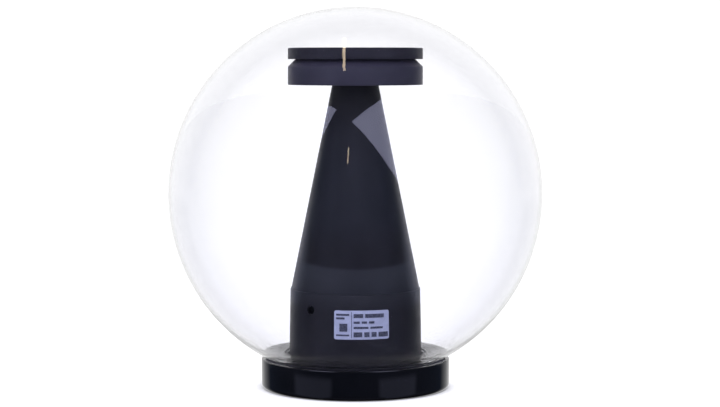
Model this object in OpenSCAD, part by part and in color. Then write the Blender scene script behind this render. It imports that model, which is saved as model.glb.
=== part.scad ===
// Clear globe garden luminaire: a blown acrylic globe plugs into a black base ring and
// covers a tower that holds the driver at its foot and a downward LED head at its top.
// Millimetres, +Z up. The origin is the centre of the underside of the base ring.

/* [Globe] */
// Outside diameter of the globe
globe_d = 250; // [246:1:254]
// Wall at the top and the equator
globe_wall = 1.2; // [1:0.1:1.8]
// Wall at the shoulder above the neck, where the blown acrylic is thickest
shoulder_wall = 2; // [1.6:0.1:2.4]
// Outside diameter of the neck
neck_d = 100; // [99:0.5:100.5]
// Wall of the neck
neck_wall = 2.4; // [2:0.1:3]
// Thickness of the flat shelf between the neck and the sphere
shelf_t = 2.4; // [2:0.1:3]
// Height of the neck's lower end
neck_end_z = 7; // [7:0.1:8]

/* [Base ring] */
// Outside diameter of the ring
ring_d = 126.4; // [125:0.2:127]
// Height of the ring
ring_h = 20; // [19:0.5:20]
// Wall of the ring
ring_wall = 3; // [2.4:0.1:3]
// Radius of the rounded lower edge
ring_fillet = 3.5; // [2:0.5:4]
// Thickness of the ring's inward floor
ring_floor = 3; // [3:0.5:3.5]

/* [Mounting plate] */
// Thickness of the plate above the ring's floor
plate_t = 3; // [3:0.5:3.5]
// Pitch circle of the fixing holes
fixing_pcd = 60; // [58:1:62]
// Diameter of the fixing holes
fixing_hole_d = 5.2; // [4.5:0.1:5.5]
// Diameter of the cable bore in the grommet
cable_d = 7.2; // [6:0.2:8]

/* [Tower] */
// Diameter of the housing at its foot
housing_foot_d = 89.8; // [89:0.2:90.4]
// Diameter of the housing at its shoulder
housing_top_d = 87.2; // [86.8:0.2:87.6]
// Height of the housing's shoulder
housing_top_z = 66.9; // [66:0.1:69]
// Wall of the housing and of the cone
tower_wall = 2.5; // [2.2:0.1:2.6]
// Diameter of the cone at its foot
cone_foot_d = 86; // [85.4:0.2:86.4]
// Diameter of the cone at its top
cone_top_d = 31; // [30:0.5:31.4]
// Diameter of the counterbored screw holes in the housing's side
side_hole_d = 6; // [5.8:0.1:6.2]

/* [Head] */
// Diameter of both discs of the head
head_d = 90; // [88:0.5:90]
// Height of the underside of the lower disc
head_z = 203.2; // [200:0.2:205]
// Height of the lower disc's upright side
sink_side = 12; // [11.5:0.5:13]
// Depth and height of the V groove between the discs
groove = 5; // [4.5:0.5:5.5]
// Thickness of the upper disc
cap_t = 7.5; // [7:0.5:8.5]
// Number of LED chips
led_count = 14; // [10:1:16]

/* [Rating label] */
// Width of the label round the housing
label_w = 36.6; // [30:0.2:40]
// Height of the label
label_h = 19; // [16:0.2:20]
// Height of the label's lower edge
label_z = 37.8; // [36:0.1:42]
// Turn of the label's middle from the front
label_turn = 5.8; // [0:0.2:8]

/* [Hidden] */
$fn = 96;
eps = 0.01;

// Base
ring_r = ring_d / 2;
ring_in_r = ring_r - ring_wall;
floor_in_r = 40;
hub_gap = 0.4;
plate_r = ring_in_r - 0.8;
plate_top = ring_floor + plate_t;
foot_r = [51.8, 56.8];
foot_t = 1.5;
foot_fit = 0.1;
ring_screw_r = 48;
ring_screw_turns = [30, 150, 270];
ring_screw_sink = 0.15;
ring_screw_l = 5.2;
fixing_turns = [30, 150, 270];
fixing_recess = 2;
grommet_r = 8;
grommet_flange_r = 10;
grommet_flange_t = 1.5;
grommet_foot_z = 0.5;
grommet_fit = 0.05;

// Globe
globe_r = globe_d / 2;
neck_r = neck_d / 2;
neck_in_r = neck_r - neck_wall;
// The sphere meets the plane of the rim this far out, just inside the ring's wall
seat_r = ring_in_r - 1.1;
globe_z = ring_h + sqrt(globe_r * globe_r - seat_r * seat_r);
neck_polar = 180 - asin(neck_r / globe_r);
shoulder_start = 100;
globe_steps = 48;
shelf_gap = 0.6;
shelf_z = ring_h + shelf_gap;
shelf_polar = 180 - acos((globe_z - shelf_z) / globe_r);

// Neck gasket. Its top slopes in, so that the neck finds its way down
gasket_gap = 0.1;
gasket_ring_gap = 0.3;
gasket_foot_gap = 0.4;
gasket_top_outer = ring_h - 0.2;
gasket_top_inner = ring_h - 3.8;

// Tower
housing_h = housing_top_z - plate_top;
deck_t = 3;
deck_z = housing_top_z - deck_t;
spigot_h = 3;
spigot_r = cone_foot_d / 2 - tower_wall - 1.2;
stem_r = 5;
stem_bore_r = 3.5;
stem_fit = 0.05;
stem_z = [58.2, 220.2];
nut_flats = 14;
nut_t = 4;
washer_r = 9;
washer_t = 1;
side_screw_z = 55.7;
side_turns = [228, 48];
side_bore_depth = 1.5;

// Chassis and electrics
chassis_r = 39;
chassis_t = 2;
chassis_top = plate_top + chassis_t;
upright_w = 62;
upright_y = 8;
upright_top = 50;
post_r = [37, 41];
post_w = 8;
post_top = 62;
chassis_screw_r = 33;
chassis_screw_turns = [90, 210, 330];
driver_size = [40, 17.8, 36];
driver_z = 12;
driver_gap = 0.1;
ear_size = [7, 2, 8];
terminal_size = [26, 12, 16];
terminal_z = 24;
terminal_pitch = 12;
terminal_y = upright_y - 6;
terminal_bore_r = 1.6;
terminal_well_r = 1.8;
terminal_levels = [4, 12];
terminal_screw_r = 1.7;
terminal_screw_t = 3;
terminal_screw_y = upright_y - 10.8;
barrier_slot = [1.2, 5];
wire_r = 0.8;

// Routes of the wires as depth and height, and how far each wire of a pair is off the middle
supply_x = terminal_pitch / 2;
supply_route = [[2, 37], [2, 50], [5, 53], [15, 53], [17, 51], [17, 48]];
output_x = 1.2;
output_route = [
    [23, 48], [23, 52], [20, 55], [3, 55], [0, 58], [0, 220.2], [2.5, 222.7], [20, 222.7],
    [22, 220.7], [22, 209.2]
];

// Head
head_r = head_d / 2;
sink_top = head_z + sink_side + groove;
sink_lip = 3.4;
web_z = [head_z + 6.5, head_z + 11];
land_in_r = 34;
seal_groove_r = [36.6, 38.6];
seal_t = 1;
pad_t = 0.5;
board_r = [18, 38.5];
board_t = 1.6;
board_z = web_z[0] - pad_t - board_t;
board_screw_r = 22;
board_screw_turns = [30, 150, 270];
chip_r = 31;
chip_size = [3, 3, 0.7];
wire_hole = [0, 22];
wire_hole_r = 3;
diffuser_r = [15.8, 39.6];
diffuser_t = 2;
diffuser_z = head_z + 0.3;
cap_cavity_r = 36;
cap_roof_t = 2.5;
cap_top = sink_top + cap_t;
cap_edge = 0.8;
cap_boss_r = 3.5;
cap_screw_r = 28;
cap_screw_turns = [90, 210, 330];
cap_screw_l = 9;

// M3 screws
m3_r = 1.5;
m3_fit = 0.05;
m3_clear = 0.2;
m3_head_r = 2.8;
m3_head_t = 1.5;

// Points along an arc, for outlines
function arc(centre, r, from, to, steps) = [
    for (i = [0 : steps])
        let (a = from + (to - from) * i / steps)
        [centre[0] + r * cos(a), centre[1] + r * sin(a)]
];

// Wall of the globe at an angle from its top: even at first, then swelling towards the neck
function wall_at(polar) =
    let (t = max(0, (polar - shoulder_start) / (neck_polar - shoulder_start)))
    globe_wall + (shoulder_wall - globe_wall) * t * t;

// Outside radius of the housing at a height
function housing_r_at(z) =
    housing_foot_d / 2 + (housing_top_d - housing_foot_d) / 2 * (z - plate_top) / housing_h;

module tube(z, h, outer, inner) {
    translate([0, 0, z])
        difference() {
            cylinder(h = h, r = outer);
            translate([0, 0, -1])
                cylinder(h = h + 2, r = inner);
        }
}

// Copies its children to each angle, at radius r
module around(angles, r) {
    for (a = angles)
        rotate([0, 0, a])
            translate([r, 0, 0])
                children();
}

// A hole along Z
module bore(z, h, r) {
    translate([0, 0, z])
        cylinder(h = h, r = r);
}

// A pan-head screw with a cross slot. Its head stands on z = 0 and its shank runs down
module pan_screw(length, r = m3_r, head_r = m3_head_r, head_t = m3_head_t) {
    translate([0, 0, -length])
        cylinder(h = length + eps, r = r);
    difference() {
        cylinder(h = head_t, r1 = head_r, r2 = head_r * 0.85);
        for (a = [0, 90])
            rotate([0, 0, a])
                translate([0, 0, head_t])
                    cube([head_r, 0.6, head_t], center = true);
    }
}

// A countersunk screw with its flat face on z = 0 and its shank running up
module flat_screw(length, r = m3_r, head_r = m3_head_r) {
    difference() {
        union() {
            cylinder(h = head_r - r, r1 = head_r, r2 = r);
            cylinder(h = length, r = r);
        }
        for (a = [0, 90])
            rotate([0, 0, a])
                cube([head_r, 0.6, 1.4], center = true);
    }
}

module hex_nut(z) {
    translate([0, 0, z])
        difference() {
            cylinder(h = nut_t, d = nut_flats / cos(30), $fn = 6);
            translate([0, 0, -1])
                cylinder(h = nut_t + 2, r = stem_r + stem_fit);
        }
}

// A round wire along a list of points, with ball corners
module wire(points, r = wire_r) {
    for (i = [0 : len(points) - 2]) {
        run = points[i + 1] - points[i];
        translate(points[i])
            rotate([0, acos(run[2] / norm(run)), atan2(run[1], run[0])])
                cylinder(h = norm(run), r = r, $fn = 24);
    }
    for (i = [1 : len(points) - 2])
        translate(points[i])
            sphere(r = r, $fn = 24);
}

module base_ring() {
    lip = 0.8;
    color("#0d0d10")
        difference() {
            rotate_extrude()
                polygon(concat(
                    [[floor_in_r, 0]],
                    arc([ring_r - ring_fillet, ring_fillet], ring_fillet, -90, 0, 8),
                    arc([ring_r - lip, ring_h - lip], lip, 0, 90, 4),
                    arc([ring_in_r + lip, ring_h - lip], lip, 90, 180, 4),
                    [[ring_in_r, ring_floor], [floor_in_r, ring_floor]]
                ));
            tube(-1, 1 + foot_t, foot_r[1], foot_r[0]);
            around(ring_screw_turns, ring_screw_r) {
                bore(-1, ring_floor + 2, m3_r + m3_fit);
                translate([0, 0, -eps])
                    cylinder(h = 1.5, r1 = m3_head_r + m3_clear, r2 = m3_r);
            }
        }
}

module foot_gasket() {
    color("#1c1c1e")
        tube(0, foot_t, foot_r[1] - foot_fit, foot_r[0] + foot_fit);
}

module ring_screws() {
    color("#b9bcc0")
        around(ring_screw_turns, ring_screw_r)
            translate([0, 0, ring_screw_sink])
                flat_screw(ring_screw_l);
}

module mounting_plate() {
    color("#202024")
        difference() {
            union() {
                bore(ring_floor, plate_t, plate_r);
                bore(0, ring_floor + eps, floor_in_r - hub_gap);
            }
            bore(-1, plate_top + 2, grommet_r);
            around(fixing_turns, fixing_pcd / 2) {
                bore(-1, plate_top + 2, fixing_hole_d / 2);
                bore(plate_top - fixing_recess, 3, fixing_hole_d / 2 + fixing_recess);
            }
            around(chassis_screw_turns, chassis_screw_r)
                bore(1, plate_top, m3_r + m3_fit);
            around(ring_screw_turns, ring_screw_r)
                bore(ring_floor - 1, plate_t + 0.6, m3_r + m3_fit);
        }
}

module cable_grommet() {
    color("#2b2b2e")
        difference() {
            union() {
                bore(grommet_foot_z, plate_top, grommet_r - grommet_fit);
                bore(plate_top, grommet_flange_t, grommet_flange_r);
            }
            bore(-1, plate_top + 5, cable_d / 2);
        }
}

module neck_gasket() {
    inner = neck_r + gasket_gap;
    outer = ring_in_r - gasket_ring_gap;
    color("#19191b")
        rotate_extrude()
            polygon([
                [inner, plate_top + gasket_foot_gap], [outer, plate_top + gasket_foot_gap],
                [outer, gasket_top_outer], [inner, gasket_top_inner]
            ]);
}

module chassis() {
    color("#c9ccd0")
        difference() {
            union() {
                bore(plate_top, chassis_t, chassis_r);
                translate([-upright_w / 2, upright_y, plate_top])
                    cube([upright_w, chassis_t, upright_top - plate_top]);
                around(side_turns, 0)
                    translate([post_r[0], -post_w / 2, plate_top])
                        cube([post_r[1] - post_r[0], post_w, post_top - plate_top]);
            }
            // The disc is cut back inside the housing, and the posts are rounded with it
            tube(plate_top - 1, post_top, chassis_r + 10, post_r[1]);
            bore(plate_top - 1, 4, grommet_flange_r + 1);
            around(fixing_turns, fixing_pcd / 2)
                bore(plate_top - 1, 4, fixing_hole_d / 2 + fixing_recess);
            around(chassis_screw_turns, chassis_screw_r)
                bore(plate_top - 1, 4, m3_r + m3_clear);
            around(side_turns, 0)
                translate([post_r[0] - 1, 0, side_screw_z])
                    rotate([0, 90, 0])
                        cylinder(h = 8, r = m3_r + m3_fit);
            upright_holes() cylinder(h = 6, r = m3_r + m3_fit, center = true);
        }
}

// Places its children on the screw axes of the driver
module upright_holes() {
    for (side = [-1, 1])
        translate([
            side * (driver_size[0] + ear_size[0]) / 2,
            upright_y + chassis_t / 2,
            driver_z + driver_size[2] / 2
        ])
            rotate([90, 0, 0])
                children();
}

module chassis_screws() {
    color("#b9bcc0")
        around(chassis_screw_turns, chassis_screw_r)
            translate([0, 0, chassis_top])
                pan_screw(6);
}

module terminal_block() {
    front = upright_y - terminal_size[1];
    color("#f0eee6")
        difference() {
            translate([-terminal_size[0] / 2, front, terminal_z])
                cube(terminal_size);
            for (side = [-1, 1]) {
                // Conductor passage, open at the top and the bottom
                translate([side * terminal_pitch / 2, terminal_y, 0])
                    bore(terminal_z - 1, terminal_size[2] + 2, terminal_bore_r);
                for (level = terminal_levels)
                    translate([side * terminal_pitch / 2, terminal_y, terminal_z + level])
                        rotate([90, 0, 0])
                            cylinder(h = terminal_size[1], r = terminal_well_r);
            }
            translate([-barrier_slot[0] / 2, front - 1, terminal_z - 1])
                cube([barrier_slot[0], barrier_slot[1] + 1, terminal_size[2] + 2]);
        }
}

module terminal_screws() {
    color("#d9dbde")
        for (side = [-1, 1], level = terminal_levels)
            translate([side * terminal_pitch / 2, terminal_screw_y, terminal_z + level])
                rotate([90, 0, 0])
                    difference() {
                        translate([0, 0, -terminal_screw_t])
                            cylinder(h = terminal_screw_t, r = terminal_screw_r);
                        cube([2 * terminal_screw_r + 1, 0.5, 1], center = true);
                    }
}

module led_driver() {
    y = upright_y + chassis_t + driver_gap;
    color("#ececea")
        difference() {
            union() {
                translate([-driver_size[0] / 2, y, driver_z])
                    cube(driver_size);
                for (side = [-1, 1])
                    translate([
                        side * (driver_size[0] + ear_size[0]) / 2 - ear_size[0] / 2,
                        y, driver_z + (driver_size[2] - ear_size[2]) / 2
                    ])
                        cube(ear_size);
            }
            upright_holes() cylinder(h = 10, r = m3_r + m3_fit, center = true);
        }
}

module driver_screws() {
    color("#b9bcc0")
        for (side = [-1, 1])
            translate([
                side * (driver_size[0] + ear_size[0]) / 2,
                upright_y + chassis_t + driver_gap + ear_size[1],
                driver_z + driver_size[2] / 2
            ])
                rotate([-90, 0, 0])
                    pan_screw(4.4);
}

module wire_pair(x, route) {
    for (side = [-1, 1])
        wire([for (p = route) [side * x, p[0], p[1]]]);
}

module supply_wires() {
    color("#7c5a3a")
        wire_pair(supply_x, supply_route);
}

module output_wires() {
    color("#a02c28")
        wire_pair(output_x, output_route);
}

module driver_housing() {
    inner_foot = housing_foot_d / 2 - tower_wall;
    inner_top = housing_r_at(deck_z) - tower_wall;
    color("#26262c")
        difference() {
            union() {
                translate([0, 0, plate_top])
                    cylinder(h = housing_h, r1 = housing_foot_d / 2, r2 = housing_top_d / 2);
                bore(housing_top_z - eps, spigot_h, spigot_r);
            }
            translate([0, 0, plate_top - eps])
                cylinder(h = deck_z - plate_top + eps, r1 = inner_foot, r2 = inner_top);
            bore(housing_top_z, spigot_h + 1, spigot_r - 2);
            bore(deck_z - 1, deck_t + 2, stem_r + stem_fit);
            around(side_turns, 0)
                translate([0, 0, side_screw_z])
                    rotate([0, 90, 0]) {
                        cylinder(h = 60, r = m3_r + m3_clear);
                        translate([0, 0, housing_r_at(side_screw_z) - side_bore_depth])
                            cylinder(h = 10, r = side_hole_d / 2);
                    }
        }
}

module housing_screws() {
    color("#15151a")
        around(side_turns, housing_r_at(side_screw_z) - side_bore_depth)
            translate([0, 0, side_screw_z])
                rotate([0, 90, 0])
                    pan_screw(6, head_t = side_bore_depth - 0.2);
}

module rating_label() {
    sweep = label_w / (housing_top_d / 2) * 180 / PI;
    low = housing_r_at(label_z) + eps;
    high = housing_r_at(label_z + label_h) + eps;
    film = 0.2;
    color("#b9c2d8")
        rotate([0, 0, label_turn - 90 - sweep / 2])
            rotate_extrude(angle = sweep)
                polygon([
                    [low, label_z], [low + film, label_z],
                    [high + film, label_z + label_h], [high, label_z + label_h]
                ]);
}

module tower_cone() {
    seat = 0.1;
    top_wall = cone_top_d / 2 - tower_wall;
    spigot = cone_top_d / 2 - 0.2;
    color("#24242a")
        rotate_extrude()
            polygon([
                [cone_foot_d / 2 - tower_wall, housing_top_z + eps],
                [cone_foot_d / 2, housing_top_z + eps],
                [cone_top_d / 2, head_z],
                [spigot, head_z],
                [spigot, web_z[0] - seat],
                [top_wall, web_z[0] - seat],
                [top_wall, head_z]
            ]);
}

module stem_tube() {
    color("#c8a85a")
        tube(stem_z[0], stem_z[1] - stem_z[0], stem_r, stem_bore_r);
}

module stem_nuts() {
    color("#c8a85a") {
        hex_nut(deck_z - washer_t - nut_t);
        hex_nut(housing_top_z);
        hex_nut(web_z[0] - nut_t);
        hex_nut(web_z[1] + washer_t);
    }
}

module stem_washers() {
    color("#b9bcc0")
        for (z = [deck_z - washer_t, web_z[1]])
            tube(z, washer_t, washer_r, stem_r + stem_fit);
}

module heat_sink() {
    color("#24242a")
        difference() {
            rotate_extrude()
                polygon([
                    [stem_r + stem_fit, web_z[0]],
                    [head_r - sink_lip, web_z[0]],
                    [head_r - sink_lip, head_z],
                    [head_r, head_z],
                    [head_r, head_z + sink_side],
                    [head_r - groove, sink_top],
                    [seal_groove_r[1], sink_top],
                    [seal_groove_r[1], sink_top - seal_t],
                    [seal_groove_r[0], sink_top - seal_t],
                    [seal_groove_r[0], sink_top],
                    [land_in_r, sink_top],
                    [land_in_r, web_z[1]],
                    [stem_r + stem_fit, web_z[1]]
                ]);
            translate([wire_hole[0], wire_hole[1], 0])
                bore(web_z[0] - 1, 8, wire_hole_r);
            around(board_screw_turns, board_screw_r)
                bore(web_z[0] - 1, 4.2, m3_r + m3_fit);
            around(cap_screw_turns, cap_screw_r) {
                bore(web_z[0] - 1, 8, m3_r + m3_clear);
                bore(web_z[0] - 1, 1 + m3_head_t + m3_clear / 2, m3_head_r + m3_clear);
            }
        }
}

// A flat ring under the web, with the holes for the wires and the board's screws
module board_blank(z, t) {
    difference() {
        tube(z, t, board_r[1], board_r[0]);
        around(board_screw_turns, board_screw_r)
            bore(z - 1, t + 2, m3_r + 0.1);
        children();
    }
}

module thermal_pad() {
    color("#8d9096")
        board_blank(web_z[0] - pad_t, pad_t)
            translate([wire_hole[0], wire_hole[1], 0])
                bore(web_z[0] - 2, 4, wire_hole_r);
}

module led_board() {
    color("#f4f5f2")
        board_blank(board_z, board_t);
}

module board_screws() {
    color("#b9bcc0")
        around(board_screw_turns, board_screw_r)
            translate([0, 0, board_z])
                mirror([0, 0, 1])
                    pan_screw(5, head_t = 1.3);
}

module led_chips() {
    color("#f2d95c")
        around([for (i = [0 : led_count - 1]) 360 * i / led_count], chip_r)
            translate([0, 0, board_z - chip_size[2] / 2])
                cube(chip_size, center = true);
}

module diffuser() {
    color("#f3f3ee")
        tube(diffuser_z, diffuser_t, diffuser_r[1], diffuser_r[0]);
}

module diffuser_seal() {
    gap = head_r - sink_lip - diffuser_r[1];
    color("#8f9398")
        rotate_extrude()
            translate([diffuser_r[1] + gap / 2, diffuser_z + diffuser_t / 2])
                circle(r = gap / 2 - 0.02);
}

module head_gasket() {
    color("#1c1c1e")
        tube(sink_top - seal_t, seal_t, seal_groove_r[1], seal_groove_r[0]);
}

module head_cap() {
    roof = cap_top - cap_roof_t;
    color("#2a2a30")
        difference() {
            union() {
                rotate_extrude()
                    polygon(concat(
                        [[cap_cavity_r, sink_top], [head_r, sink_top]],
                        arc([head_r - cap_edge, cap_top - cap_edge], cap_edge, 0, 90, 4),
                        [[0, cap_top], [0, roof], [cap_cavity_r, roof]]
                    ));
                around(cap_screw_turns, cap_screw_r)
                    bore(web_z[1], roof - web_z[1] + eps, cap_boss_r);
            }
            around(cap_screw_turns, cap_screw_r)
                bore(web_z[1] - 1, cap_screw_l, m3_r + m3_fit);
        }
}

module cap_screws() {
    color("#b9bcc0")
        around(cap_screw_turns, cap_screw_r)
            translate([0, 0, web_z[0] + m3_head_t])
                mirror([0, 0, 1])
                    pan_screw(cap_screw_l);
}

module globe() {
    polars = [for (i = [0 : globe_steps]) shelf_polar * i / globe_steps];
    shelf_top = shelf_z + shelf_t;
    color([0.92, 0.94, 0.97, 0.3])
        rotate_extrude()
            polygon(concat(
                [[neck_r, neck_end_z], [neck_r, shelf_z]],
                arc([0, globe_z], globe_r, 90 - shelf_polar, 90, globe_steps),
                [
                    for (a = polars)
                        let (r = globe_r - wall_at(a), z = globe_z + r * cos(a))
                        if (z > shelf_top)
                        [r * sin(a), z]
                ],
                [[neck_in_r, shelf_top], [neck_in_r, neck_end_z]]
            ));
}

base_ring();
foot_gasket();
ring_screws();
mounting_plate();
cable_grommet();
neck_gasket();
chassis();
chassis_screws();
terminal_block();
terminal_screws();
led_driver();
driver_screws();
supply_wires();
output_wires();
driver_housing();
housing_screws();
rating_label();
tower_cone();
stem_tube();
stem_nuts();
stem_washers();
heat_sink();
thermal_pad();
led_board();
board_screws();
led_chips();
diffuser();
diffuser_seal();
head_gasket();
head_cap();
cap_screws();
globe();
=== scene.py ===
import math

import bmesh
import bpy
from mathutils import Matrix, Vector


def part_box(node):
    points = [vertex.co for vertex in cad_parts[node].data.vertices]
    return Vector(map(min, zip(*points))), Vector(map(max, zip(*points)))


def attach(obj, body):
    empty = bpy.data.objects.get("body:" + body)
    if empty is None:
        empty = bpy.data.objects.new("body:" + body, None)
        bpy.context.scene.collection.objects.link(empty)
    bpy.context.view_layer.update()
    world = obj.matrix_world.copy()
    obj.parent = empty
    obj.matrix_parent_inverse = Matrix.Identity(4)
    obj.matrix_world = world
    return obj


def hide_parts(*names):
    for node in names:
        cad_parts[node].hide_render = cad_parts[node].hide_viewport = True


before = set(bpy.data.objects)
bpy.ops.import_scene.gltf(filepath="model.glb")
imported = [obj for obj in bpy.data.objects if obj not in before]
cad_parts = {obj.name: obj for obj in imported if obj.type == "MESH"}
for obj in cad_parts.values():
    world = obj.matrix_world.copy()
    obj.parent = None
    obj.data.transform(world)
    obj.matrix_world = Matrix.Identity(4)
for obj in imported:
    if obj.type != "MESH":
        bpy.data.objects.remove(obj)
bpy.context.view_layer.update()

# ---- Camera and studio -----------------------------------------------------------------------
# A long lens stands well back, a little above the lamp's head, and looks down by a few degrees.
# The room is a white sweep with two large softboxes, and two narrow strip lights overhead.

MM = 0.001


def colour(hex_code):
    """An sRGB hex colour as linear red, green, blue and alpha."""
    parts = [int(hex_code[i:i + 2], 16) / 255 for i in (1, 3, 5)]
    return [p / 12.92 if p <= 0.04045 else ((p + 0.055) / 1.055) ** 2.4 for p in parts] + [1.0]


def add_node(tree, kind, inputs=None, **settings):
    """Adds a node, sets its settings, and sets or links each named or numbered input."""
    made = tree.nodes.new(kind)
    for key, value in settings.items():
        setattr(made, key, value)
    for key, value in (inputs or {}).items():
        if isinstance(value, bpy.types.NodeSocket):
            tree.links.new(value, made.inputs[key])
        else:
            made.inputs[key].default_value = value
    return made


camera_distance = 1.390
camera_height = 0.2277
camera_shift = 0.0031
camera_pitch = math.radians(4.28)
camera_data = bpy.data.cameras.new("camera")
camera_data.lens = 104
camera_data.sensor_width = 36
camera_data.clip_end = 60
camera = bpy.data.objects.new("camera", camera_data)
camera.location = (camera_shift, -camera_distance, camera_height)
camera.rotation_euler = (math.pi / 2 - camera_pitch, 0, 0)
bpy.context.scene.collection.objects.link(camera)
bpy.context.scene.camera = camera
bpy.context.scene.view_settings.view_transform = "Standard"

# The room as a table of directions: white behind, dim in front and a little lighter near eye
# level. Low down, the pale table reaches forward, brightest to both sides and in shade below
world = bpy.data.worlds.new("room")
bpy.context.scene.world = world
world.use_nodes = True
tree = world.node_tree
tree.nodes.clear()
white, dim, eye_level, pale, bright = (
    colour(c) for c in ("#ffffff", "#20222c", "#344054", "#70788f", "#9ea4c4"))
direction = add_node(tree, "ShaderNodeSeparateXYZ", {
    0: add_node(tree, "ShaderNodeTexCoord").outputs["Generated"]})
across, depth, height = direction.outputs
from_above = add_node(tree, "ShaderNodeMapRange", {
    "Value": height, "From Min": 0.85, "From Max": 0.35})
from_below = add_node(tree, "ShaderNodeMapRange", {
    "Value": height, "From Min": -0.50, "From Max": -0.20})
level = add_node(tree, "ShaderNodeMath", {
    0: from_above.outputs[0], 1: from_below.outputs[0]}, operation="MINIMUM")
front = add_node(tree, "ShaderNodeMix", {0: level.outputs[0], 6: dim, 7: eye_level}, data_type="RGBA")
lean = add_node(tree, "ShaderNodeMath", {0: height, 1: -1.10, 2: depth}, operation="MULTIPLY_ADD")
past_edge = add_node(tree, "ShaderNodeMapRange", {
    "Value": lean.outputs[0], "From Min": -0.02, "From Max": 0.02})
steep = add_node(tree, "ShaderNodeMapRange", {"Value": height, "From Min": -0.20, "From Max": -0.30})
in_shade = add_node(tree, "ShaderNodeMapRange", {
    "Value": lean.outputs[0], "From Min": 0.18, "From Max": 0.80, "To Min": 1.0, "To Max": 0.0})
table_edge = add_node(tree, "ShaderNodeMath", {
    0: past_edge.outputs[0], 1: steep.outputs[0]}, operation="MULTIPLY")
table_near = add_node(tree, "ShaderNodeMath", {
    0: table_edge.outputs[0], 1: in_shade.outputs[0]}, operation="MULTIPLY")
table_front = add_node(tree, "ShaderNodeMix", {
    0: table_near.outputs[0], 6: front.outputs[2], 7: pale}, data_type="RGBA")
off_middle = add_node(tree, "ShaderNodeMath", {0: across}, operation="ABSOLUTE")
to_side = add_node(tree, "ShaderNodeMapRange", {
    "Value": off_middle.outputs[0], "From Min": 0.44, "From Max": 0.52})
before = add_node(tree, "ShaderNodeMapRange", {"Value": depth, "From Min": -0.15, "From Max": -0.25})
flanks = add_node(tree, "ShaderNodeMath", {
    0: to_side.outputs[0], 1: before.outputs[0]}, operation="MULTIPLY")
table_sides = add_node(tree, "ShaderNodeMix", {
    0: flanks.outputs[0], 6: table_front.outputs[2], 7: bright}, data_type="RGBA")
table_far = add_node(tree, "ShaderNodeMapRange", {"Value": depth, "From Min": 0.60, "From Max": 0.95})
table = add_node(tree, "ShaderNodeMix", {
    0: table_far.outputs[0], 6: table_sides.outputs[2], 7: white}, data_type="RGBA")
wall_far = add_node(tree, "ShaderNodeMapRange", {"Value": depth, "From Min": 0.50, "From Max": 0.95})
walls = add_node(tree, "ShaderNodeMix", {
    0: wall_far.outputs[0], 6: front.outputs[2], 7: white}, data_type="RGBA")
above_table = add_node(tree, "ShaderNodeMapRange", {
    "Value": height, "From Min": -0.10, "From Max": -0.05})
studio = add_node(tree, "ShaderNodeMix", {
    0: above_table.outputs[0], 6: table.outputs[2], 7: walls.outputs[2]}, data_type="RGBA")
# What is looked at straight, or through the globe alone, is the white sweep on every side, and so
# is half of what comes round inside the globe's wall after two turns
path = add_node(tree, "ShaderNodeLightPath")
turns_left = add_node(tree, "ShaderNodeMath", {
    0: 2.25, 1: path.outputs["Glossy Depth"]}, operation="SUBTRACT")
bounced = add_node(tree, "ShaderNodeMath", {
    0: path.outputs["Glossy Depth"], 1: turns_left.outputs[0], 2: path.outputs["Diffuse Depth"]},
    operation="MULTIPLY_ADD", use_clamp=True)
seen = add_node(tree, "ShaderNodeMix", {
    0: bounced.outputs[0], 6: white, 7: studio.outputs[2]}, data_type="RGBA")
strength = add_node(tree, "ShaderNodeMath", {
    0: bounced.outputs[0], 1: -0.3, 2: 1.32}, operation="MULTIPLY_ADD")
glow = add_node(tree, "ShaderNodeBackground", {
    "Color": seen.outputs[2], "Strength": strength.outputs[0]})
add_node(tree, "ShaderNodeOutputWorld", {"Surface": glow.outputs[0]})


def add_light(name, corner, along, across, power, tint):
    """A rectangular light with one corner at a point, its sides along two directions."""
    along, across = Vector(along), Vector(across)
    data = bpy.data.lights.new(name, "AREA")
    data.shape = "RECTANGLE"
    data.size = along.length
    data.size_y = across.length
    data.energy = power * along.length * across.length * math.pi
    data.color = colour(tint)[:3]
    light = bpy.data.objects.new(name, data)
    x_axis, y_axis = along.normalized(), across.normalized()
    normal = x_axis.cross(y_axis)
    middle = Vector(corner) + (along + across) / 2
    if normal.dot(middle - globe_centre) < 0:
        x_axis, normal = -x_axis, -normal
    turn = Matrix((x_axis, y_axis, normal)).transposed().to_4x4()
    light.matrix_world = Matrix.Translation(middle) @ turn
    light.visible_camera = False
    light.visible_transmission = False
    bpy.context.scene.collection.objects.link(light)
    return light


globe_low, globe_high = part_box("globe")
globe_radius = (globe_high.x - globe_low.x) / 2
globe_centre = Vector((0, 0, globe_high.z - globe_radius))
add_light("softbox_right", globe_centre + Vector((-0.041, -1.018, 1.037)),
          Vector((0.682, 0.656, 0.324)) * 0.75, Vector((0.607, -0.258, -0.752)) * 1.3, 4.4, "#d8daff")
add_light("softbox_left", globe_centre + Vector((-0.257, -0.878, 1.21)),
          Vector((-0.703, 0.711, 0.009)) * 0.75, Vector((-0.353, -0.354, -0.866)) * 1.3, 4.4, "#d8daff")
add_light("strip_over", globe_centre + Vector((-0.105, -0.2, 1.0)),
          Vector((0.02, 0, 0)), Vector((0.03, 0.5, 0)), 9, "#ffe6c0")
add_light("strip_front", globe_centre + Vector((-0.09, -1.05, 0.40)),
          Vector((0.014, 0, 0)), Vector((0.01, 0, 0.2)), 9, "#ffe6c0")

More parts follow.
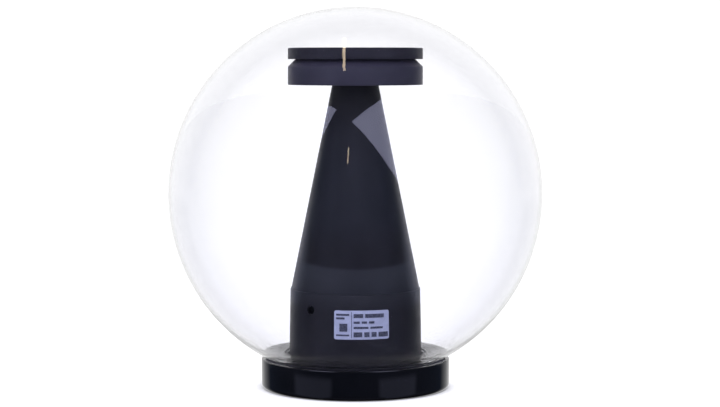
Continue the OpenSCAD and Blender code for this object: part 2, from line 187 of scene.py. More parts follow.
# The table top: plain and pale. Only straight looks see it; the room's own table is in reflections
floor_mesh = bpy.data.meshes.new("table_top")
bm = bmesh.new()
bmesh.ops.create_grid(bm, x_segments=1, y_segments=1, size=14)
bm.to_mesh(floor_mesh)
bm.free()
floor = bpy.data.objects.new("table_top", floor_mesh)
bpy.context.scene.collection.objects.link(floor)
paper = bpy.data.materials.new("white_sweep_paper")
paper.use_nodes = True
paper.node_tree.nodes.clear()
# Painted contact shadow: the table's glow is multiplied by ambient occlusion, so it darkens where the
# ring stands close
painted_contact_shadow = add_node(paper.node_tree, "ShaderNodeAmbientOcclusion", {"Distance": 0.012}, samples=8)
sheet = add_node(paper.node_tree, "ShaderNodeBsdfPrincipled", {
    "Base Color": colour("#9a9a9a"), "Roughness": 0.9,
    "Emission Color": painted_contact_shadow.outputs["Color"], "Emission Strength": 1.15})
path = add_node(paper.node_tree, "ShaderNodeLightPath")
bounced = add_node(paper.node_tree, "ShaderNodeMath", {
    0: path.outputs["Diffuse Depth"], 1: path.outputs["Glossy Depth"]}, operation="ADD", use_clamp=True)
gone = add_node(paper.node_tree, "ShaderNodeBsdfTransparent")
top = add_node(paper.node_tree, "ShaderNodeMixShader", {
    0: bounced.outputs[0], 1: sheet.outputs[0], 2: gone.outputs[0]})
add_node(paper.node_tree, "ShaderNodeOutputMaterial", {"Surface": top.outputs[0]})
floor_mesh.materials.append(paper)

# ---- Base ring -------------------------------------------------------------------------------
# The foot of the lamp: a ring moulded in black ABS and polished, with an inward floor that is
# clamped under the mounting plate. Its lower edge is rounded, and its rim stands under the globe.


def arc(centre, radius, start, end, steps):
    """Points of an arc in the outline plane, as (distance from the axis, height)."""
    turns = [math.radians(start + (end - start) * i / steps) for i in range(steps + 1)]
    return [(centre[0] + radius * math.cos(a), centre[1] + radius * math.sin(a)) for a in turns]


def finish_piece(bm, name, material, body, edge=0.0, replaces=(), smooth=32):
    """Closes a bmesh's seams, turns its faces out, rounds sharp edges and makes it a piece."""
    bmesh.ops.remove_doubles(bm, verts=bm.verts[:], dist=1e-6)
    bmesh.ops.recalc_face_normals(bm, faces=bm.faces[:])
    if edge:
        sharp = [e for e in bm.edges if e.is_manifold and e.calc_face_angle(0) > math.radians(smooth)]
        bmesh.ops.bevel(bm, geom=sharp, offset=edge, segments=2, profile=0.5, material=-1,
                        affect="EDGES", clamp_overlap=True)
    mesh = bpy.data.meshes.new(name)
    bm.to_mesh(mesh)
    bm.free()
    for face in mesh.polygons:
        face.use_smooth = True
    mesh.set_sharp_from_angle(angle=math.radians(smooth))
    mesh.materials.append(material)
    piece = bpy.data.objects.new(name, mesh)
    bpy.context.scene.collection.objects.link(piece)
    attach(piece, body)
    if replaces:
        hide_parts(*replaces)
    return piece


def spin_outline(outline, closed=True, steps=128):
    """A bmesh of an outline spun a full turn about the lamp's axis."""
    bm = bmesh.new()
    points = [bm.verts.new((r, 0, z)) for r, z in outline]
    pairs = list(zip(points, points[1:]))
    if closed:
        pairs.append((points[-1], points[0]))
    for a, b in pairs:
        bm.edges.new((a, b))
    bmesh.ops.spin(bm, geom=bm.verts[:] + bm.edges[:], cent=(0, 0, 0), axis=(0, 0, 1),
                   angle=2 * math.pi, steps=steps, use_merge=True)
    return bm


def turned(angle_degrees, radius, height=0.0):
    """Where a hole or a screw sits: turned about the axis, out at a radius, up at a height."""
    return Matrix.Rotation(math.radians(angle_degrees), 4, "Z") @ Matrix.Translation((radius, 0, height))


def drill(piece, holes):
    """Cuts cones and cylinders out of a piece. Each hole is its place, its two radii and its depth,
    and may overlap the next, as a counterbore does."""
    bm = bmesh.new()
    for place_at, lower, upper, depth in holes:
        bmesh.ops.create_cone(bm, cap_ends=True, segments=32, radius1=lower, radius2=upper, depth=depth,
                              matrix=place_at @ Matrix.Translation((0, 0, depth / 2)))
    cutter_mesh = bpy.data.meshes.new("cutter")
    bm.to_mesh(cutter_mesh)
    bm.free()
    cutter = bpy.data.objects.new("cutter", cutter_mesh)
    bpy.context.scene.collection.objects.link(cutter)
    cut = piece.modifiers.new("holes", "BOOLEAN")
    cut.operation = "DIFFERENCE"
    cut.object = cutter
    cut.solver = "EXACT"
    cut.use_self = True
    graph = bpy.context.evaluated_depsgraph_get()
    finished = bpy.data.meshes.new_from_object(piece.evaluated_get(graph))
    piece.modifiers.clear()
    piece.data = finished
    finished.set_sharp_from_angle(angle=math.radians(32))
    bpy.data.objects.remove(cutter)
    return piece


def surface(name, shades, drift, gloss, fine, shader, grain=None, pattern="ShaderNodeTexNoise"):
    """A worked surface. Its shade drifts between two over one size, its gloss varies between two
    roughnesses over a fine one, and grain, where it has any, is a size and a height. Shader sets
    what is the same all over. A grain under a millimetre is drawn a few times its real size."""
    material = bpy.data.materials.new(name)
    material.use_nodes = True
    tree = material.node_tree
    tree.nodes.clear()
    where = add_node(tree, "ShaderNodeTexCoord").outputs["Object"]
    patches = add_node(tree, pattern, {"Vector": where, "Scale": 1 / drift})
    share = add_node(tree, "ShaderNodeMapRange", {
        "Value": patches.outputs[0], "From Min": 0.35, "From Max": 0.65})
    shade = add_node(tree, "ShaderNodeMix", {
        0: share.outputs[0], 6: colour(shades[0]), 7: colour(shades[1])}, data_type="RGBA")
    handling = add_node(tree, "ShaderNodeTexNoise", {"Vector": where, "Scale": 1 / fine, "Detail": 4.0})
    dullness = add_node(tree, "ShaderNodeMapRange", {
        "Value": handling.outputs[0], "From Min": 0.35, "From Max": 0.65,
        "To Min": gloss[0], "To Max": gloss[1]})
    inputs = {"Base Color": shade.outputs[2], "Roughness": dullness.outputs[0], **shader}
    if grain:
        size, height = grain
        bed = add_node(tree, "ShaderNodeTexNoise", {"Vector": where, "Scale": 1 / size, "Detail": 3.0})
        inputs["Normal"] = add_node(tree, "ShaderNodeBump", {
            "Strength": 0.4, "Distance": height, "Height": bed.outputs[0]}).outputs[0]
    skin = add_node(tree, "ShaderNodeBsdfPrincipled", inputs)
    add_node(tree, "ShaderNodeOutputMaterial", {"Surface": skin.outputs[0]})
    return material


# ABS moulded in a polished tool: deep black and mirror-like, with a breath of dust on it
polished_black_abs = surface("polished_black_abs", ("#050507", "#09090c"), 30 * MM, (0.05, 0.09),
                             1.5 * MM, {"IOR": 1.4})
ring_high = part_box("base_ring")[1]
ring_radius, ring_height = ring_high.x, ring_high.z
ring_wall, ring_floor = 3 * MM, 3 * MM
ring_fillet, ring_lip = 3.5 * MM, 0.8 * MM
ring_inner = ring_radius - ring_wall
floor_inner = 40 * MM
groove_inner, groove_outer, groove_depth = 51.8 * MM, 56.8 * MM, 1.5 * MM
ring_screw_circle = 48 * MM
ring_screw_turns = (30, 150, 270)
ring_screw_hole = 1.6 * MM
screw_head = 3 * MM
ring_shell = finish_piece(spin_outline(
    [(floor_inner, 0), (groove_inner, 0), (groove_inner, groove_depth),
     (groove_outer, groove_depth), (groove_outer, 0)]
    + arc((ring_radius - ring_fillet, ring_fillet), ring_fillet, -90, 0, 10)
    + arc((ring_radius - ring_lip, ring_height - ring_lip), ring_lip, 0, 90, 5)
    + arc((ring_inner + ring_lip, ring_height - ring_lip), ring_lip, 90, 180, 5)
    + [(ring_inner, ring_floor), (floor_inner, ring_floor)], steps=160),
    "ring_shell", polished_black_abs, "lamp", replaces=["base_ring"])
drill(ring_shell, [
    hole for turn in ring_screw_turns for hole in (
        (turned(turn, ring_screw_circle, -1 * MM), ring_screw_hole, ring_screw_hole, 6 * MM),
        (turned(turn, ring_screw_circle, -0.01 * MM), screw_head, 1.5 * MM, 1.5 * MM))])

# ---- Seals -----------------------------------------------------------------------------------
# Moulded EPDM: a flat gasket in the groove under the ring, and the deep ring that grips the
# globe's neck, with three lips on its inner face. The grommet for the cable is the same rubber.

# EPDM: dull black with a slight bloom, and the fine matt texture of a blasted mould
moulded_epdm = surface("moulded_epdm", ("#17171a", "#242427"), 6 * MM, (0.62, 0.8), 3 * MM,
                       {"IOR": 1.5}, grain=(0.6 * MM, 0.03 * MM))
gasket_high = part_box("foot_gasket")[1]
gasket_inner = groove_inner + 0.1 * MM
finish_piece(spin_outline([
    (gasket_inner, 0), (gasket_high.x, 0),
    (gasket_high.x, gasket_high.z), (gasket_inner, gasket_high.z)]),
    "foot_seal", moulded_epdm, "lamp", edge=0.3 * MM, replaces=["foot_gasket"])

seal_low, seal_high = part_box("neck_gasket")
neck_radius = 50 * MM
seal_inner = neck_radius + 0.1 * MM
seal_inner_top = seal_high.z - 3.6 * MM
lip_count, lip_pitch, lip_round = 3, 2.6 * MM, 0.7 * MM
seal_back = seal_inner + 1.2 * MM
lip_outline = [(seal_inner, seal_inner_top)]
for lip in range(lip_count):
    top = seal_inner_top - 0.8 * MM - lip * lip_pitch
    lip_outline += arc((seal_inner + lip_round, top - lip_round), lip_round, 90, 270, 8)
    lip_outline.append((seal_back, top - 2 * MM))
finish_piece(spin_outline(
    [(seal_back, seal_low.z), (seal_high.x, seal_low.z), (seal_high.x, seal_high.z)]
    + lip_outline, steps=144),
    "neck_seal", moulded_epdm, "seal", edge=0.12 * MM, replaces=["neck_gasket"])

grommet_low, grommet_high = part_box("cable_grommet")
flange_t = 1.5 * MM
cable_radius = 3.6 * MM
grommet_body = 7.95 * MM
finish_piece(spin_outline([
    (cable_radius, grommet_low.z), (grommet_body, grommet_low.z),
    (grommet_body, grommet_high.z - flange_t), (grommet_high.x, grommet_high.z - flange_t),
    (grommet_high.x, grommet_high.z), (cable_radius, grommet_high.z)], steps=64),
    "entry_grommet", moulded_epdm, "lamp", edge=0.25 * MM, replaces=["cable_grommet"])

# ---- Inner metalwork, mouldings and screws ---------------------------------------------------
# The plate that is fixed to the post, the sheet-steel chassis on it, and the electrical parts
# that hang on the chassis. Their own meshes are right, so a copy of each only gets softer edges.


def refine(node, name, material, edge):
    """A copy of a node's mesh with merged corners and slightly rounded edges."""
    bm = bmesh.new()
    bm.from_mesh(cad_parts[node].data)
    bmesh.ops.remove_doubles(bm, verts=bm.verts[:], dist=1e-6)
    bmesh.ops.dissolve_limit(bm, angle_limit=math.radians(0.6), verts=bm.verts[:], edges=bm.edges[:])
    finish_piece(bm, name, material, "lamp", edge, [node])


# Nylon with glass fibre: matt black, slightly streaked where the melt flowed
glass_filled_nylon = surface("glass_filled_nylon", ("#18181b", "#222226"), 8 * MM, (0.5, 0.68), 2 * MM,
                             {"IOR": 1.53}, grain=(0.8 * MM, 0.02 * MM))
# Zinc-plated screws: cool grey, with the small spangle of the plating
zinc_plated_steel = surface("zinc_plated_steel", ("#a9acb0", "#c6c9cc"), 1.2 * MM, (0.24, 0.4), 0.7 * MM,
                            {"Metallic": 1.0}, pattern="ShaderNodeTexVoronoi")
# Galvanised sheet: the same grey, with spangles as large as lentils
galvanised_sheet = surface("galvanised_sheet", ("#a2a5a9", "#c6c9cc"), 4 * MM, (0.26, 0.42), 2.4 * MM,
                           {"Metallic": 1.0}, pattern="ShaderNodeTexVoronoi")
# Near-black steel with painted shade: the heads are drawn as dark as a deep hole's shadow, so they hardly
# show in their holes
black_steel_painted_hole_shade = surface("black_steel_painted_hole_shade", ("#050506", "#0a0a0c"), 1 * MM, (0.5, 0.7), 0.7 * MM,
                            {"Metallic": 1.0})
# Uncoloured nylon: ivory and waxy, with faint flow marks
natural_nylon = surface("natural_nylon", ("#d9d7cf", "#e8e6df"), 10 * MM, (0.42, 0.54), 2 * MM, {
    "IOR": 1.53, "Subsurface Weight": 0.05, "Subsurface Radius": (2 * MM, 2 * MM, 2 * MM)},
    grain=(0.7 * MM, 0.012 * MM))
# White polycarbonate: an even cold white with a soft gloss
white_polycarbonate = surface("white_polycarbonate", ("#dfe0de", "#efefed"), 10 * MM, (0.3, 0.42), 2 * MM,
                              {"IOR": 1.58}, grain=(0.7 * MM, 0.012 * MM))
refine("mounting_plate", "post_plate", glass_filled_nylon, 0.25 * MM)
refine("chassis", "chassis_frame", galvanised_sheet, 0.2 * MM)
refine("terminal_block", "supply_terminal", natural_nylon, 0.25 * MM)
refine("led_driver", "driver_case", white_polycarbonate, 0.5 * MM)
for node in ("ring_screws", "chassis_screws", "terminal_screws", "driver_screws",
             "board_screws", "cap_screws"):
    refine(node, node.replace("_screws", "_fixings"), zinc_plated_steel, 0.08 * MM)
# The housing screws carry the painted hole shade, so their shallow counterbores look deep and dark
refine("housing_screws", "housing_fixings", black_steel_painted_hole_shade, 0.08 * MM)

# ---- Wires -----------------------------------------------------------------------------------
# Two pairs of single wires, held all the way: terminal to driver, and driver to LED board up
# through the hollow stem. Stranded copper in soft insulation, so the bends are easy ones.

# PVC insulation: brown, smooth and slightly greasy
brown_pvc = surface("brown_pvc", ("#5a3c24", "#6c4a2e"), 4 * MM, (0.38, 0.5), 2 * MM, {"IOR": 1.53})
# Silicone insulation for the hot end: a clear red, duller than PVC
red_silicone = surface("red_silicone", ("#8c2420", "#a5302a"), 4 * MM, (0.45, 0.58), 2 * MM,
                       {"IOR": 1.41})


def wire_pair(name, half_gap, route, radius, material, node):
    """Two wires side by side along one route of (depth, height) points, in millimetres."""
    curve = bpy.data.curves.new(name, "CURVE")
    curve.dimensions = "3D"
    curve.bevel_depth = radius
    curve.bevel_resolution = 3
    curve.use_fill_caps = True
    for side in (-1, 1):
        spline = curve.splines.new("NURBS")
        spline.points.add(len(route) - 1)
        for point, (y, z) in zip(spline.points, route):
            point.co = (side * half_gap * MM, y * MM, z * MM, 1)
        spline.order_u = 3
        spline.use_endpoint_u = True
        spline.resolution_u = 6
    curve.materials.append(material)
    pair = bpy.data.objects.new(name, curve)
    bpy.context.scene.collection.objects.link(pair)
    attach(pair, "lamp")
    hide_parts(node)


wire_radius = 0.8 * MM
wire_pair("supply_leads", 6, [(2, 37), (2, 44), (2, 50), (5, 53), (10, 53), (15, 53), (17, 51), (17, 48)],
          wire_radius, brown_pvc, "supply_wires")
wire_pair("output_leads", 1.2, [
    (23, 48), (23, 52), (20, 55), (12, 55), (3, 55), (0, 58), (0, 70), (0, 140), (0, 210), (0, 220.2),
    (2.5, 222.7), (11, 222.7), (20, 222.7), (22, 220.7), (22, 215), (22, 209.2)],
    wire_radius, red_silicone, "output_wires")

# ---- Tower -----------------------------------------------------------------------------------
# The housing and the cone: two polycarbonate mouldings, satin black from a spark-eroded tool.
# The housing has a counterbored hole for a screw at each side, and the cone sits on its spigot.

# Polycarbonate from a spark-eroded tool: near black, with a soft sheen and a faint even grain
satin_black_moulding = surface("satin_black_moulding", ("#0f0e13", "#131217"), 20 * MM, (0.36, 0.42),
                               12 * MM, {"IOR": 1.38}, grain=(0.9 * MM, 0.008 * MM))
housing_low, housing_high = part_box("driver_housing")
housing_foot = housing_high.x
housing_shoulder = 43.6 * MM
spigot_height, spigot_radius = 3 * MM, 39.3 * MM
spigot_inner = spigot_radius - 2 * MM
shoulder_z = housing_high.z - spigot_height
tower_wall, deck_t = 2.5 * MM, 3 * MM
stem_hole = 5.05 * MM
deck_z = shoulder_z - deck_t


def housing_radius_at(z):
    """Outside radius of the housing at a height."""
    share = (z - housing_low.z) / (shoulder_z - housing_low.z)
    return housing_foot + (housing_shoulder - housing_foot) * share


housing = finish_piece(spin_outline([
    (housing_foot - tower_wall, housing_low.z), (housing_foot, housing_low.z),
    (housing_shoulder, shoulder_z), (spigot_radius, shoulder_z), (spigot_radius, housing_high.z),
    (spigot_inner, housing_high.z), (spigot_inner, shoulder_z),
    (stem_hole, shoulder_z), (stem_hole, deck_z), (housing_radius_at(deck_z) - tower_wall, deck_z)],
    steps=144), "tower_housing", satin_black_moulding, "lamp", edge=0.35 * MM,
    replaces=["driver_housing"])
side_screw_z = 55.7 * MM
side_turns = (228, 48)
clearance_hole = 1.7 * MM
outwards = Matrix.Rotation(math.pi / 2, 4, "Y")
side_recess = housing_radius_at(side_screw_z) - 1.5 * MM
drill(housing, [
    hole for turn in side_turns for hole in (
        (turned(turn, 30 * MM, side_screw_z) @ outwards, clearance_hole, clearance_hole, 20 * MM),
        (turned(turn, side_recess, side_screw_z) @ outwards, screw_head, screw_head, 6 * MM))])

cone_low, cone_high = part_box("tower_cone")
cone_foot, cone_top = cone_high.x, 15.5 * MM
head_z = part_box("heat_sink")[0].z
cone_spigot = cone_top - 0.2 * MM
finish_piece(spin_outline([
    (cone_foot - tower_wall, cone_low.z), (cone_foot, cone_low.z), (cone_top, head_z),
    (cone_spigot, head_z), (cone_spigot, cone_high.z), (cone_top - tower_wall, cone_high.z),
    (cone_top - tower_wall, head_z)], steps=144),
    "tower_shell", satin_black_moulding, "lamp", edge=0.3 * MM, replaces=["tower_cone"])

# ---- Rating label ----------------------------------------------------------------------------
# A silvered film label, die-cut with round corners and wrapped on the housing. Its print is
# blank: a divider, a plain square, and bars where a real one has its data.

# Metallised polyester: pale blue-grey with a satin shine, not quite flat
silvered_film = surface("silvered_film", ("#a5abba", "#b1b7c6"), 5 * MM, (0.34, 0.46), 2 * MM,
                        {"IOR": 1.5}, grain=(3 * MM, 0.02 * MM))
# Thermal-transfer ink: dark grey, broken where the film shows through
transfer_ink = surface("transfer_ink", ("#2b2e37", "#4d5260"), 0.9 * MM, (0.45, 0.55), 1 * MM,
                       {"IOR": 1.5})
label_low, label_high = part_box("rating_label")
label_height = label_high.z - label_low.z
label_turn = math.radians(5.8 - 90)
label_width = 36.6 * MM
label_gap, film_t, ink_t = 0.03 * MM, 0.15 * MM, 0.02 * MM


def wrap(x, z, lift):
    """A point of the label, x across from its middle and z up from its foot, on the housing."""
    height = label_low.z + z
    radius = housing_radius_at(height) + lift
    turn = label_turn + x / housing_shoulder
    return Vector((radius * math.cos(turn), radius * math.sin(turn), height))


def wrapped_patch(bm, x0, x1, z0, z1, lift, corner=0.0):
    """A small sheet laid on the housing: a flat grid, its corners cut round, then bent to shape."""
    columns = max(2, math.ceil((x1 - x0) / (2.5 * MM)))
    made = bmesh.ops.create_grid(bm, x_segments=columns, y_segments=1, size=0.5)["verts"]
    for v in made:
        v.co = Vector((x0 + (v.co.x + 0.5) * (x1 - x0), z0 + (v.co.y + 0.5) * (z1 - z0), 0))
    if corner:
        ends = [v for v in made if len(v.link_edges) == 2]
        bmesh.ops.bevel(bm, geom=ends, offset=corner, segments=6, profile=0.5, material=-1,
                        affect="VERTICES", clamp_overlap=True)
        made = bm.verts[:]
    for v in made:
        v.co = wrap(v.co.x, v.co.y, lift)


half_label = label_width / 2
bm = bmesh.new()
wrapped_patch(bm, -half_label, half_label, 0, label_height, label_gap, corner=1.4 * MM)
bmesh.ops.recalc_face_normals(bm, faces=bm.faces[:])
bmesh.ops.solidify(bm, geom=bm.faces[:], thickness=-film_t)
finish_piece(bm, "label_film", silvered_film, "lamp", replaces=["rating_label"])

bm = bmesh.new()
print_lift = label_gap + film_t + ink_t
divider_x, divider_margin = -half_label + 11.3 * MM, 0.9 * MM
wrapped_patch(bm, divider_x, divider_x + 0.35 * MM, divider_margin, label_height - divider_margin,
              print_lift)
left_x = -half_label + 1.4 * MM
square_x, square_z, square_side = left_x + 2.2 * MM, 5.2 * MM, 5.2 * MM
wrapped_patch(bm, square_x, square_x + square_side, square_z, square_z + square_side, print_lift)
# Each row of bars has the left end, foot and height of its bars, and then their widths
data_x, bar_gap = divider_x + 1.5 * MM, 1.3 * MM
bar_rows = (
    (left_x, 15.6, 1.3, (8.6,)), (left_x, 13.2, 1.3, (5.6,)), (left_x, 2.2, 1.1, (8.6,)),
    (data_x, 14.2, 2.6, (6.2, 12.6)), (data_x, 10.4, 1.5, (4.0, 3.4, 3.6)),
    (data_x, 7.0, 1.4, (9.6, 8.4)), (data_x, 1.6, 3.2, (5.6, 3.4, 3.4, 6.6)))
for x, foot, height, widths in bar_rows:
    for width in widths:
        wrapped_patch(bm, x, x + width * MM, foot * MM, (foot + height) * MM, print_lift)
        x += width * MM + bar_gap
bmesh.ops.recalc_face_normals(bm, faces=bm.faces[:])
bmesh.ops.solidify(bm, geom=bm.faces[:], thickness=-ink_t)
finish_piece(bm, "label_print", transfer_ink, "lamp")

# ---- Stem ------------------------------------------------------------------------------------
# A hollow M10 rod of turned brass ties the head to the housing's deck. Four thin hex nuts and
# two washers clamp it, and the wires to the board run up through it.

# Bright-turned brass: warm yellow, a little tarnished where it was handled
turned_brass = surface("turned_brass", ("#b08d4c", "#d2b06a"), 8 * MM, (0.2, 0.36), 2 * MM,
                       {"Metallic": 1.0})
stem_low, stem_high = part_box("stem_tube")
stem_radius, stem_bore = stem_high.x, 3.5 * MM
thread_depth, thread_pitch, thread_steps_per_turn = 0.5 * MM, 1.5 * MM, 24
core = stem_radius - thread_depth
rib_root = core - 0.1 * MM
finish_piece(spin_outline([
    (stem_bore, stem_low.z), (core, stem_low.z), (core, stem_high.z), (stem_bore, stem_high.z)],
    steps=48), "stem_core", turned_brass, "lamp", edge=0.15 * MM, replaces=["stem_tube"])
bm = bmesh.new()
rib = [bm.verts.new((r, 0, stem_low.z + z)) for r, z in (
    (rib_root, 0.1 * MM), (stem_radius, 0.6 * MM), (stem_radius, 0.75 * MM), (rib_root, 1.25 * MM))]
start = bm.faces.new(rib)
thread_turns = int((stem_high.z - stem_low.z) / thread_pitch) - 1
thread_steps = thread_turns * thread_steps_per_turn
bmesh.ops.spin(bm, geom=[start], cent=(0, 0, 0), axis=(0, 0, 1), angle=2 * math.pi * thread_turns,
               dvec=(0, 0, thread_pitch * thread_turns / thread_steps), steps=thread_steps)
finish_piece(bm, "stem_thread", turned_brass, "lamp")
refine("stem_nuts", "hex_nuts", turned_brass, 0.3 * MM)
refine("stem_washers", "flat_washers", zinc_plated_steel, 0.12 * MM)

# ---- Head: lower disc ------------------------------------------------------------------------
# The heat sink is turned from aluminium bar and powder coated satin black. Its upper edge is cut
# back at 45 degrees, so that it meets the cap in a V groove, and its underside holds the LEDs.

# Powder coat on turned aluminium: the cap's satin coat, drawn a shade lighter than the cap, with orange
# peel
powder_coat_drawn_lighter = surface("powder_coat_drawn_lighter", ("#2a2832", "#2e2c36"), 15 * MM, (0.38, 0.46),
                               6 * MM, {"IOR": 1.45}, grain=(1.6 * MM, 0.012 * MM))
sink_low, sink_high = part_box("heat_sink")
head_radius = sink_high.x
groove = 5 * MM
sink_lip = 3.4 * MM
web_low, web_high = sink_low.z + 6.5 * MM, sink_low.z + 11 * MM
land_inner = 34 * MM
channel_inner, channel_outer = 36.6 * MM, 38.6 * MM
channel_floor = sink_high.z - 1 * MM
heat_sink = finish_piece(spin_outline([
    (stem_hole, web_low), (head_radius - sink_lip, web_low), (head_radius - sink_lip, sink_low.z),
    (head_radius, sink_low.z), (head_radius, sink_high.z - groove), (head_radius - groove, sink_high.z),
    (channel_outer, sink_high.z), (channel_outer, channel_floor),
    (channel_inner, channel_floor), (channel_inner, sink_high.z),
    (land_inner, sink_high.z), (land_inner, web_high), (stem_hole, web_high)], steps=144),
    "lower_disc", powder_coat_drawn_lighter, "lamp", edge=0.3 * MM, replaces=["heat_sink"])
board_screw_circle, board_screw_turns = 22 * MM, (30, 150, 270)
cap_screw_circle, cap_screw_turns = 28 * MM, (90, 210, 330)
wire_hole, tapped_hole = 3 * MM, 1.55 * MM
under_web = web_low - 1 * MM
drill(heat_sink, [(turned(90, board_screw_circle, under_web), wire_hole, wire_hole, 7 * MM)] + [
    (turned(turn, board_screw_circle, under_web), tapped_hole, tapped_hole, 4.2 * MM)
    for turn in board_screw_turns] + [
    hole for turn in cap_screw_turns for hole in (
        (turned(turn, cap_screw_circle, under_web), clearance_hole, clearance_hole, 8 * MM),
        (turned(turn, cap_screw_circle, under_web), screw_head, screw_head, 2.6 * MM))])

# ---- Head: LED board -------------------------------------------------------------------------
# A ring board with an aluminium core and white solder mask, on a silicone pad. It faces down, so
# no light goes above the head. Each LED is a white frame round a yellow phosphor window.

# White solder mask: an even enamel-like gloss, slightly yellowed by the heat
white_solder_mask = surface("white_solder_mask", ("#eceae2", "#f6f6f2"), 12 * MM, (0.22, 0.32), 3 * MM,
                            {"IOR": 1.52})
# Filled silicone sheet: grey and chalky
grey_silicone = surface("grey_silicone", ("#7f848b", "#959aa0"), 4 * MM, (0.6, 0.75), 2 * MM,
                        {"IOR": 1.41})
# Silicone loaded with phosphor: opaque egg yellow with a wet-looking dome
phosphor_silicone = surface("phosphor_silicone", ("#e3b92e", "#f2d25a"), 0.7 * MM, (0.18, 0.26), 0.5 * MM,
                            {"IOR": 1.42})
refine("thermal_pad", "heat_pad", grey_silicone, 0.0)
refine("led_board", "ring_board", white_solder_mask, 0.12 * MM)
chip_low, chip_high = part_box("led_chips")
chip_count, chip_circle, chip_side = 14, 31 * MM, 3 * MM
chip_depth = chip_high.z - chip_low.z
window_radius, window_rise, window_recess = 1.12 * MM, 0.2 * MM, 0.2 * MM
frames, windows = bmesh.new(), bmesh.new()
for i in range(chip_count):
    at = turned(360 * i / chip_count, chip_circle, (chip_low.z + chip_high.z) / 2)
    size = Matrix.Diagonal((chip_side, chip_side, chip_depth, 1))
    body = bmesh.ops.create_cube(frames, size=1, matrix=at @ size)["verts"]
    under = min({f for v in body for f in v.link_faces}, key=lambda f: f.calc_center_median().z)
    bmesh.ops.inset_individual(frames, faces=[under], thickness=0.35 * MM, depth=0)
    bmesh.ops.translate(frames, verts=under.verts[:], vec=(0, 0, window_recess))
    dome = turned(360 * i / chip_count, chip_circle, chip_low.z + 0.22 * MM)
    bmesh.ops.create_uvsphere(windows, u_segments=16, v_segments=8, radius=1, matrix=dome
                              @ Matrix.Diagonal((window_radius, window_radius, window_rise, 1)))
finish_piece(frames, "chip_frames", white_polycarbonate, "lamp", replaces=["led_chips"])
finish_piece(windows, "chip_windows", phosphor_silicone, "lamp")

# ---- Head: diffuser and seals ----------------------------------------------------------------
# An opal polycarbonate ring closes the underside round the cone, held in a silicone cord that
# also seals it. An EPDM ring in the channel on top keeps water out of the groove.

# Opal polycarbonate: milky white that light sinks into, with a soft gloss
opal_polycarbonate = surface("opal_polycarbonate", ("#f1f1ec", "#f8f8f5"), 20 * MM, (0.2, 0.3), 2 * MM, {
    "IOR": 1.58, "Subsurface Weight": 0.3, "Subsurface Radius": (3 * MM, 3 * MM, 3 * MM)})
# Translucent silicone cord: a lighter grey than the pad, soft and dull
clear_silicone = surface("clear_silicone", ("#85898e", "#a2a6ab"), 4 * MM, (0.5, 0.62), 2 * MM, {
    "IOR": 1.41, "Subsurface Weight": 0.1, "Subsurface Radius": (2 * MM, 2 * MM, 2 * MM)})
diffuser_low, diffuser_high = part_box("diffuser")
diffuser_inner = 15.8 * MM
finish_piece(spin_outline([
    (diffuser_inner, diffuser_low.z), (diffuser_high.x, diffuser_low.z),
    (diffuser_high.x, diffuser_high.z), (diffuser_inner, diffuser_high.z)]),
    "opal_ring", opal_polycarbonate, "lamp", edge=0.3 * MM, replaces=["diffuser"])
cord_low, cord_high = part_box("diffuser_seal")
cord_radius = (cord_high.z - cord_low.z) / 2
finish_piece(spin_outline(arc(
    (cord_high.x - cord_radius, (cord_low.z + cord_high.z) / 2), cord_radius, 0, 345, 23)),
    "seal_cord", clear_silicone, "lamp", replaces=["diffuser_seal"])
cap_seal_low, cap_seal_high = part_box("head_gasket")
finish_piece(spin_outline([
    (channel_inner, cap_seal_low.z), (channel_outer, cap_seal_low.z),
    (channel_outer, cap_seal_high.z), (channel_inner, cap_seal_high.z)]),
    "cap_seal", moulded_epdm, "lamp", edge=0.15 * MM, replaces=["head_gasket"])

# ---- Head: upper disc ------------------------------------------------------------------------
# The cap is turned like the heat sink, hollow underneath, with three bosses for the screws that
# hold it from below. It is plain on top, so that rain runs off.

# The same powder coat in black
black_powder_coat = surface("black_powder_coat", ("#19171e", "#1d1b22"), 15 * MM, (0.38, 0.46), 6 * MM,
                            {"IOR": 1.42}, grain=(1.6 * MM, 0.012 * MM))
cap_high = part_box("head_cap")[1]
cap_roof, cap_cavity, cap_edge = cap_high.z - 2.5 * MM, 36 * MM, 0.8 * MM
finish_piece(spin_outline(
    [(0, cap_roof), (cap_cavity, cap_roof), (cap_cavity, sink_high.z), (head_radius, sink_high.z)]
    + arc((head_radius - cap_edge, cap_high.z - cap_edge), cap_edge, 0, 90, 6)
    + [(0, cap_high.z)], closed=False, steps=144),
    "upper_disc", black_powder_coat, "lamp", edge=0.25 * MM, replaces=["head_cap"])
bosses = bmesh.new()
boss_height, boss_radius = cap_roof - web_high, 3.5 * MM
for turn in cap_screw_turns:
    at = turned(turn, cap_screw_circle, web_high + boss_height / 2)
    bmesh.ops.create_cone(bosses, cap_ends=True, segments=32, radius1=boss_radius, radius2=boss_radius,
                          depth=boss_height, matrix=at)
cap_bosses = finish_piece(bosses, "cap_bosses", black_powder_coat, "lamp", edge=0.2 * MM)
drill(cap_bosses, [
    (turned(turn, cap_screw_circle, web_high - 1 * MM), tapped_hole, tapped_hole, 9 * MM)
    for turn in cap_screw_turns])

# ---- Globe -----------------------------------------------------------------------------------
# The shade: one clear acrylic blowing, thin at the crown and thicker below, where it turns in
# over a flat shelf to a plain neck. The neck plugs into the seal in the base ring.

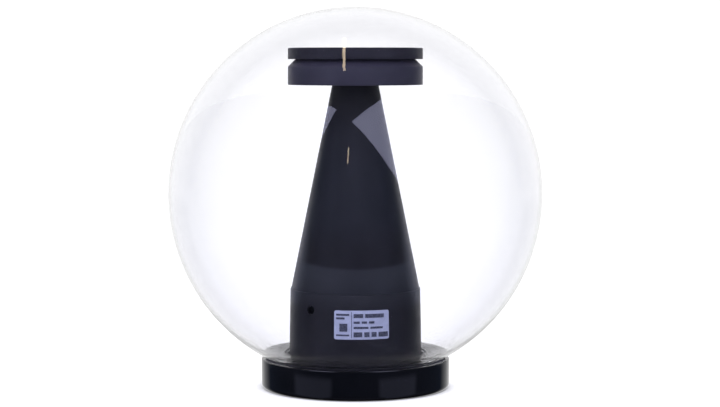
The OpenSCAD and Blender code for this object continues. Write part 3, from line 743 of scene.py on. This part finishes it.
# Clear acrylic, glossy on both faces and colourless, bright and dark only at its edges. Lamps shine
# straight through. Its neck, where it was gripped and cut, is slightly rippled
clear_blown_acrylic = bpy.data.materials.new("clear_blown_acrylic")
clear_blown_acrylic.use_nodes = True
tree = clear_blown_acrylic.node_tree
tree.nodes.clear()
where = add_node(tree, "ShaderNodeTexCoord").outputs["Object"]
up = add_node(tree, "ShaderNodeSeparateXYZ", {0: where}).outputs["Z"]
near_neck = add_node(tree, "ShaderNodeMapRange", {
    "Value": up, "From Min": 34 * MM, "From Max": 24 * MM, "To Min": 0.0, "To Max": 0.35})
waves = add_node(tree, "ShaderNodeTexNoise", {"Vector": where, "Scale": 1 / (4 * MM), "Detail": 3.0})
ripple = add_node(tree, "ShaderNodeBump", {
    "Strength": near_neck.outputs[0], "Distance": 0.6 * MM, "Height": waves.outputs[0]})
clear = add_node(tree, "ShaderNodeBsdfPrincipled", {
    "Base Color": colour("#fdfdff"), "Roughness": 0.0, "IOR": 1.49, "Transmission Weight": 1.0,
    "Normal": ripple.outputs[0]})
to_lamps = add_node(tree, "ShaderNodeBsdfTransparent")
wall_look = add_node(tree, "ShaderNodeMixShader", {
    0: add_node(tree, "ShaderNodeLightPath").outputs["Is Shadow Ray"], 1: clear.outputs[0],
    2: to_lamps.outputs[0]})
add_node(tree, "ShaderNodeOutputMaterial", {"Surface": wall_look.outputs[0]})

globe_wall, shoulder_wall = 1.2 * MM, 2.0 * MM
neck_inner = 47.6 * MM
shelf_low = ring_height + 0.6 * MM
shelf_top = shelf_low + 2.4 * MM
neck_polar = 180 - math.degrees(math.asin(neck_radius / globe_radius))
shelf_polar = 180 - math.degrees(math.acos((globe_centre.z - shelf_low) / globe_radius))
shoulder_start = 100


def wall_at(polar):
    """The wall's thickness at an angle from the crown, in degrees."""
    swell = max(0, (polar - shoulder_start) / (neck_polar - shoulder_start))
    return globe_wall + (shoulder_wall - globe_wall) * swell ** 2


def globe_outline(steps):
    """Half the section: down the inside from the crown, round the shelf and neck, up the outside."""
    polars = [shelf_polar * i / steps for i in range(steps + 1)]
    inner = []
    for polar in polars:
        radius, p = globe_radius - wall_at(polar), math.radians(polar)
        point = (radius * math.sin(p), globe_centre.z + radius * math.cos(p))
        if point[1] > shelf_top + 0.2 * MM:
            inner.append(point)
    outer = arc((0, globe_centre.z), globe_radius, 90 - shelf_polar, 90, steps)
    foot, lip, bend = globe_low.z, 0.8 * MM, 1.5 * MM
    return (inner + [(inner[-1][0] - bend, shelf_top)]
            + arc((neck_inner + bend, shelf_top - bend), bend, 90, 180, 6)
            + arc((neck_inner + lip, foot + lip), lip, 180, 270, 4)
            + arc((neck_radius - lip, foot + lip), lip, 270, 360, 4)
            + arc((neck_radius + bend, shelf_low - bend), bend, 180, 90, 6)
            + outer)


finish_piece(spin_outline(globe_outline(90), closed=False, steps=192), "clear_globe",
             clear_blown_acrylic, "globe", replaces=["globe"], smooth=60)
